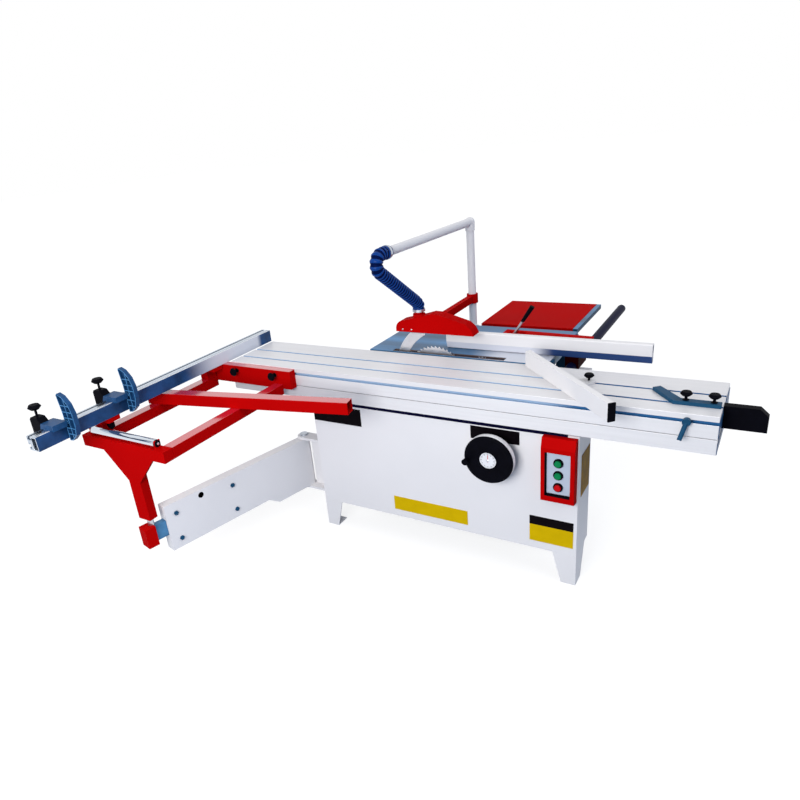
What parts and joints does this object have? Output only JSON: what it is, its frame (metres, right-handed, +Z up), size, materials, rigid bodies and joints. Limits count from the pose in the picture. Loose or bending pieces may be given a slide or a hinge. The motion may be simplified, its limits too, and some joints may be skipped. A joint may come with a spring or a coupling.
{
  "type": "sliding_table_saw",
  "caption": "Panel saw with a sliding table, outrigger on a swing arm, crosscut and mitre fences, rip fence, scoring blade, guard hood and dust hose on a white cabinet",
  "frame": {"origin": "on the floor, midway between the two anchor holes under the cabinet's front legs", "axes": "+Z up, +X along the sliding table's travel towards its push handle, +Y from the operator's side towards the extension table"},
  "size_m": [2.49, 2.543, 1.409],
  "materials": {
    "white_paint": "satin",
    "red_paint": "gloss",
    "anodised": "satin",
    "bare_aluminium": "satin",
    "cast_table": "satin",
    "steel": "satin",
    "chrome": "polished",
    "black_plastic": "satin",
    "grey_paint": "satin",
    "stop_casting": "satin",
    "blue_hose": "gloss",
    "blue_paint": "satin",
    "dark_bar": "satin",
    "belt_rubber": "matte",
    "green_plastic": "gloss",
    "red_plastic": "gloss"
  },
  "bodies": {
    "base": {"cabinet_front": "white_paint", "cabinet_sides": "white_paint", "cabinet_decks": "white_paint", "legs": "white_paint", "support_blocks": "grey_paint", "guide_rail": "anodised", "main_table": "cast_table", "extension_table": "red_paint", "table_brackets": "grey_paint", "fence_bar": "dark_bar", "dust_post": "white_paint", "dust_duct": "white_paint", "dust_hose": "blue_hose", "hood_arm": "red_paint", "blade_hood": "red_paint", "control_box": "red_paint", "control_plate": "white_paint", "hinge_brackets": "white_paint", "lift_guide": "steel", "lift_gearbox": "grey_paint", "scoring_motor": "blue_paint"},
    "carriage": {"carriage": "anodised", "end_handle": "black_plastic", "outrigger_bar": "red_paint", "outrigger_rails": "red_paint", "outrigger_beam": "red_paint", "cross_bar": "red_paint", "fence_blocks": "red_paint", "crosscut_fence": "bare_aluminium", "edging_shoe": "grey_paint", "clamp_knobs": "black_plastic"},
    "slot_lever": {"slot_lever": "grey_paint"},
    "support_roller": {"support_roller": "chrome"},
    "mitre": {"mitre_fence": "white_paint", "mitre_bracket": "black_plastic"},
    "roller_cage": {"roller_cage": "steel"},
    "swing_arm": {"swing_arm": "white_paint", "arm_rollers": "grey_paint"},
    "arm_slide": {"arm_bar": "steel", "arm_head": "red_paint"},
    "stop_1": {"stop_1_block": "black_plastic"},
    "stop_1_flap": {"stop_1_flap": "stop_casting"},
    "stop_2": {"stop_2_block": "black_plastic"},
    "stop_2_flap": {"stop_2_flap": "stop_casting"},
    "rip": {"rip_carrier": "red_paint", "rip_fence": "white_paint"},
    "rip_lever": {"rip_lever": "black_plastic"},
    "lift": {"lift_frame": "grey_paint", "riving_knife": "steel", "drive_belt": "belt_rubber", "motor": "blue_paint"},
    "blade": {"arbor": "steel", "saw_blade": "steel"},
    "motor_rotor": {"motor_pulley": "steel"},
    "lift_screw": {"lift_screw": "steel"},
    "handwheel": {"handwheel": "black_plastic"},
    "scoring": {"scoring_blade": "steel"},
    "start_button": {"start_button": "green_plastic"},
    "scoring_button": {"scoring_button": "green_plastic"},
    "stop_button": {"stop_button": "red_plastic"}
  },
  "joints": [
    {"name": "carriage_slide", "type": "slide", "parent": "base", "child": "carriage", "axis": [1, 0, 0], "range_m": [-0.72, 1.15]},
    {"name": "cage_slide", "type": "slide", "parent": "base", "child": "roller_cage", "axis": [1, 0, 0], "range_m": [-0.365, 0.58]},
    {"name": "arm_swing", "type": "hinge", "parent": "base", "child": "swing_arm", "pos_m": [-0.765, 0.0225, 0.32], "axis": [0, 0, 1], "range_deg": [-38.6, 61.5]},
    {"name": "arm_telescope", "type": "slide", "parent": "swing_arm", "child": "arm_slide", "axis": [-0.2372, -0.9715, 0], "range_m": [-0.025, 0.389]},
    {"name": "support_roller_spin", "type": "hinge", "parent": "carriage", "child": "support_roller", "pos_m": [-1, -0.8375, 0.806], "axis": [1, 0, 0], "continuous": true},
    {"name": "slot_lever_turn", "type": "hinge", "parent": "carriage", "child": "slot_lever", "pos_m": [1, -0.0555, 0.829], "axis": [0, 1, 0], "range_deg": [-40, 40]},
    {"name": "mitre_swing", "type": "hinge", "parent": "carriage", "child": "mitre", "pos_m": [0.618, 0.1405, 0.86], "axis": [0, 0, -1], "range_deg": [-30, 25]},
    {"name": "stop_1_slide", "type": "slide", "parent": "carriage", "child": "stop_1", "axis": [0, 1, 0], "range_m": [-0.06, 0.06]},
    {"name": "stop_1_flip", "type": "hinge", "parent": "stop_1", "child": "stop_1_flap", "pos_m": [-1.102, -0.9885, 0.925], "axis": [0, -1, 0], "range_deg": [0, 60]},
    {"name": "stop_2_slide", "type": "slide", "parent": "carriage", "child": "stop_2", "axis": [0, 1, 0], "range_m": [-0.06, 0.45]},
    {"name": "stop_2_flip", "type": "hinge", "parent": "stop_2", "child": "stop_2_flap", "pos_m": [-1.102, -0.6885, 0.925], "axis": [0, -1, 0], "range_deg": [0, 60]},
    {"name": "rip_slide", "type": "slide", "parent": "base", "child": "rip", "axis": [0, 1, 0], "range_m": [-0.03, 0.75]},
    {"name": "rip_lever_turn", "type": "hinge", "parent": "rip", "child": "rip_lever", "pos_m": [0.19, 0.4655, 0.92], "axis": [0, 1, 0], "range_deg": [-33, 26]},
    {"name": "blade_lift", "type": "slide", "parent": "base", "child": "lift", "axis": [0, 0, 1], "range_m": [-0.039, 0.061]},
    {"name": "screw_spin", "type": "hinge", "parent": "base", "child": "lift_screw", "pos_m": [0.29, 0.5525, 0.7], "axis": [0, 0, 1], "range_deg": [-705, 1101]},
    {"name": "handwheel_turn", "type": "hinge", "parent": "base", "child": "handwheel", "pos_m": [0.29, -0.0375, 0.575], "axis": [0, 1, 0], "range_deg": [-705, 1101]},
    {"name": "blade_spin", "type": "hinge", "parent": "lift", "child": "blade", "pos_m": [-0.14, 0.3205, 0.7325], "axis": [0, 1, 0], "continuous": true},
    {"name": "motor_spin", "type": "hinge", "parent": "lift", "child": "motor_rotor", "pos_m": [-0.14, 0.3205, 0.4945], "axis": [0, 1, 0], "continuous": true},
    {"name": "scoring_spin", "type": "hinge", "parent": "base", "child": "scoring", "pos_m": [0.095, 0.3205, 0.798], "axis": [0, 1, 0], "continuous": true},
    {"name": "start_button_press", "type": "slide", "parent": "base", "child": "start_button", "axis": [0, 1, 0], "range_m": [0, 0.004], "stiffness_N_per_m": 500},
    {"name": "scoring_button_press", "type": "slide", "parent": "base", "child": "scoring_button", "axis": [0, 1, 0], "range_m": [0, 0.004], "stiffness_N_per_m": 500},
    {"name": "stop_button_press", "type": "slide", "parent": "base", "child": "stop_button", "axis": [0, 1, 0], "range_m": [0, 0.004], "stiffness_N_per_m": 500}
  ],
  "couplings": [
    {"joint": "cage_slide", "follows": "carriage_slide", "ratio": 0.5},
    {"joint": "arm_swing", "follows": "carriage_slide", "rad_per_m": 0.92988},
    {"joint": "screw_spin", "follows": "blade_lift", "rad_per_m": 314.16},
    {"joint": "handwheel_turn", "follows": "blade_lift", "rad_per_m": 314.16},
    {"joint": "motor_spin", "follows": "blade_spin", "ratio": 0.69565}
  ]
}
